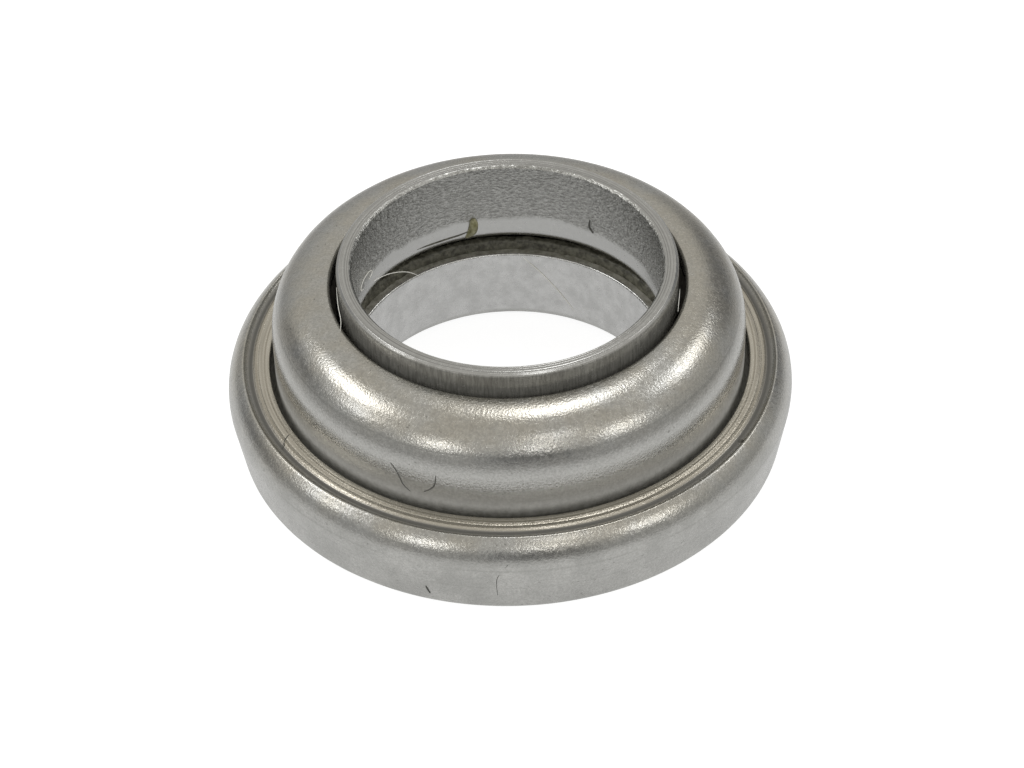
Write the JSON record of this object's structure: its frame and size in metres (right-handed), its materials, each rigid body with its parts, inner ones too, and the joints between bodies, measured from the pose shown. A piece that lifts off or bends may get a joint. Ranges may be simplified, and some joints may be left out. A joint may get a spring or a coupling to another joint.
{
  "type": "steering column bearing",
  "caption": "Pressed-steel steering column bearing: a shaft ring turns on caged balls inside a stepped cup, closed from below by a rolled-over shell.",
  "frame": {"origin": "centre of the shell's flat end, on the shaft's axis", "axes": "+Z along the shaft's axis, from the shell's flat end to the inner ring's end; X and Y are any two square directions, because the bearing is round"},
  "size_m": [0.0446, 0.0446, 0.016],
  "materials": {
    "ring_steel": "turned steel, dull grey, rough in the upper bore",
    "cup_steel": "tumbled pressed steel, satin, slightly warm grey",
    "shell_steel": "tumbled pressed steel, satin, polished where the rim was rolled",
    "cage_steel": "pressed sheet, dull, greasy",
    "ball_steel": "ground and polished bearing balls"
  },
  "bodies": {
    "outer": {"upper_cup": "cup_steel", "lower_shell": "shell_steel"},
    "ring": {"inner_ring": "ring_steel"},
    "cage": {"ball_cage": "cage_steel"},
    "ball_01": {"ball_01": "ball_steel"},
    "ball_02": {"ball_02": "ball_steel"},
    "ball_03": {"ball_03": "ball_steel"},
    "ball_04": {"ball_04": "ball_steel"},
    "ball_05": {"ball_05": "ball_steel"},
    "ball_06": {"ball_06": "ball_steel"},
    "ball_07": {"ball_07": "ball_steel"},
    "ball_08": {"ball_08": "ball_steel"},
    "ball_09": {"ball_09": "ball_steel"},
    "ball_10": {"ball_10": "ball_steel"},
    "ball_11": {"ball_11": "ball_steel"},
    "ball_12": {"ball_12": "ball_steel"},
    "ball_13": {"ball_13": "ball_steel"},
    "ball_14": {"ball_14": "ball_steel"},
    "ball_15": {"ball_15": "ball_steel"},
    "ball_16": {"ball_16": "ball_steel"},
    "ball_17": {"ball_17": "ball_steel"},
    "ball_18": {"ball_18": "ball_steel"}
  },
  "joints": [
    {"name": "ring_spin", "type": "hinge", "parent": "outer", "child": "ring", "pos_m": [0, 0, 0.01106], "axis": [0, 0, 1], "continuous": true},
    {"name": "cage_orbit", "type": "hinge", "parent": "outer", "child": "cage", "pos_m": [0, 0, 0.01106], "axis": [0, 0, 1], "continuous": true},
    {"name": "ball_01_spin", "type": "hinge", "parent": "cage", "child": "ball_01", "pos_m": [0.01516, 0, 0.01106], "axis": [-0.7071, 0, 0.7071], "continuous": true},
    {"name": "ball_02_spin", "type": "hinge", "parent": "cage", "child": "ball_02", "pos_m": [0.01424, 0.00518, 0.01106], "axis": [-0.6645, -0.2418, 0.7071], "continuous": true},
    {"name": "ball_03_spin", "type": "hinge", "parent": "cage", "child": "ball_03", "pos_m": [0.01161, 0.00974, 0.01106], "axis": [-0.5417, -0.4545, 0.7071], "continuous": true},
    {"name": "ball_04_spin", "type": "hinge", "parent": "cage", "child": "ball_04", "pos_m": [0.00758, 0.01313, 0.01106], "axis": [-0.3536, -0.6124, 0.7071], "continuous": true},
    {"name": "ball_05_spin", "type": "hinge", "parent": "cage", "child": "ball_05", "pos_m": [0.00263, 0.01493, 0.01106], "axis": [-0.1228, -0.6964, 0.7071], "continuous": true},
    {"name": "ball_06_spin", "type": "hinge", "parent": "cage", "child": "ball_06", "pos_m": [-0.00263, 0.01493, 0.01106], "axis": [0.1228, -0.6964, 0.7071], "continuous": true},
    {"name": "ball_07_spin", "type": "hinge", "parent": "cage", "child": "ball_07", "pos_m": [-0.00758, 0.01313, 0.01106], "axis": [0.3536, -0.6124, 0.7071], "continuous": true},
    {"name": "ball_08_spin", "type": "hinge", "parent": "cage", "child": "ball_08", "pos_m": [-0.01161, 0.00974, 0.01106], "axis": [0.5417, -0.4545, 0.7071], "continuous": true},
    {"name": "ball_09_spin", "type": "hinge", "parent": "cage", "child": "ball_09", "pos_m": [-0.01424, 0.00518, 0.01106], "axis": [0.6645, -0.2418, 0.7071], "continuous": true},
    {"name": "ball_10_spin", "type": "hinge", "parent": "cage", "child": "ball_10", "pos_m": [-0.01516, 0, 0.01106], "axis": [0.7071, 0, 0.7071], "continuous": true},
    {"name": "ball_11_spin", "type": "hinge", "parent": "cage", "child": "ball_11", "pos_m": [-0.01424, -0.00518, 0.01106], "axis": [0.6645, 0.2418, 0.7071], "continuous": true},
    {"name": "ball_12_spin", "type": "hinge", "parent": "cage", "child": "ball_12", "pos_m": [-0.01161, -0.00974, 0.01106], "axis": [0.5417, 0.4545, 0.7071], "continuous": true},
    {"name": "ball_13_spin", "type": "hinge", "parent": "cage", "child": "ball_13", "pos_m": [-0.00758, -0.01313, 0.01106], "axis": [0.3536, 0.6124, 0.7071], "continuous": true},
    {"name": "ball_14_spin", "type": "hinge", "parent": "cage", "child": "ball_14", "pos_m": [-0.00263, -0.01493, 0.01106], "axis": [0.1228, 0.6964, 0.7071], "continuous": true},
    {"name": "ball_15_spin", "type": "hinge", "parent": "cage", "child": "ball_15", "pos_m": [0.00263, -0.01493, 0.01106], "axis": [-0.1228, 0.6964, 0.7071], "continuous": true},
    {"name": "ball_16_spin", "type": "hinge", "parent": "cage", "child": "ball_16", "pos_m": [0.00758, -0.01313, 0.01106], "axis": [-0.3536, 0.6124, 0.7071], "continuous": true},
    {"name": "ball_17_spin", "type": "hinge", "parent": "cage", "child": "ball_17", "pos_m": [0.01161, -0.00974, 0.01106], "axis": [-0.5417, 0.4545, 0.7071], "continuous": true},
    {"name": "ball_18_spin", "type": "hinge", "parent": "cage", "child": "ball_18", "pos_m": [0.01424, -0.00518, 0.01106], "axis": [-0.6645, 0.2418, 0.7071], "continuous": true}
  ],
  "couplings": [
    {"joint": "cage_orbit", "follows": "ring_spin", "ratio": 0.45835},
    {"joint": "ball_01_spin", "follows": "ring_spin", "ratio": -4.2144},
    {"joint": "ball_02_spin", "follows": "ring_spin", "ratio": -4.2144},
    {"joint": "ball_03_spin", "follows": "ring_spin", "ratio": -4.2144},
    {"joint": "ball_04_spin", "follows": "ring_spin", "ratio": -4.2144},
    {"joint": "ball_05_spin", "follows": "ring_spin", "ratio": -4.2144},
    {"joint": "ball_06_spin", "follows": "ring_spin", "ratio": -4.2144},
    {"joint": "ball_07_spin", "follows": "ring_spin", "ratio": -4.2144},
    {"joint": "ball_08_spin", "follows": "ring_spin", "ratio": -4.2144},
    {"joint": "ball_09_spin", "follows": "ring_spin", "ratio": -4.2144},
    {"joint": "ball_10_spin", "follows": "ring_spin", "ratio": -4.2144},
    {"joint": "ball_11_spin", "follows": "ring_spin", "ratio": -4.2144},
    {"joint": "ball_12_spin", "follows": "ring_spin", "ratio": -4.2144},
    {"joint": "ball_13_spin", "follows": "ring_spin", "ratio": -4.2144},
    {"joint": "ball_14_spin", "follows": "ring_spin", "ratio": -4.2144},
    {"joint": "ball_15_spin", "follows": "ring_spin", "ratio": -4.2144},
    {"joint": "ball_16_spin", "follows": "ring_spin", "ratio": -4.2144},
    {"joint": "ball_17_spin", "follows": "ring_spin", "ratio": -4.2144},
    {"joint": "ball_18_spin", "follows": "ring_spin", "ratio": -4.2144}
  ]
}
